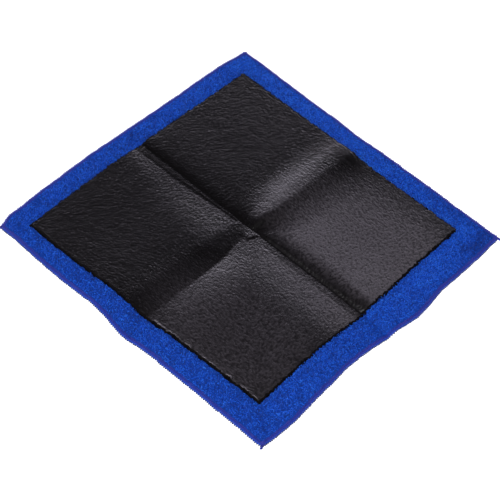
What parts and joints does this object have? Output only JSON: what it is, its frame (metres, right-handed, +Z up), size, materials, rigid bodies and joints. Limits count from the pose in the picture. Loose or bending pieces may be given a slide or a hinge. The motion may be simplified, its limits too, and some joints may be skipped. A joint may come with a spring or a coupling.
{
  "type": "clay towel",
  "caption": "Square microfibre terry towel with a bonded film of detailing clay on one face and an overlocked edge, for cleaning car paint; folds in half.",
  "frame": {"origin": "bottom centre of the open towel, on the first fold line", "axes": "+X along the first fold line, +Y across it towards the half that folds over, +Z up out of the clay"},
  "size_m": [0.3, 0.3, 0.0156],
  "materials": {
    "terry": "royal blue looped microfibre pile",
    "clay": "black fine-grained semi-matt polymer clay",
    "bond": "dull hot-melt film",
    "seam_thread": "violet-blue textured polyester thread"
  },
  "bodies": {
    "front_half": {"terry_cloth_front": "terry", "bond_film_front": "bond", "clay_film_front": "clay", "upper_looper_thread_front": "seam_thread", "lower_looper_thread_front": "seam_thread", "needle_thread_front": "seam_thread"},
    "back_half": {"terry_cloth_back": "terry", "bond_film_back": "bond", "clay_film_back": "clay", "upper_looper_thread_back": "seam_thread", "lower_looper_thread_back": "seam_thread", "needle_thread_back": "seam_thread"}
  },
  "joints": [
    {"name": "fold_in_half", "type": "hinge", "parent": "front_half", "child": "back_half", "pos_m": [0, 0, 0.01095], "axis": [1, 0, 0], "range_deg": [0, 180]}
  ]
}
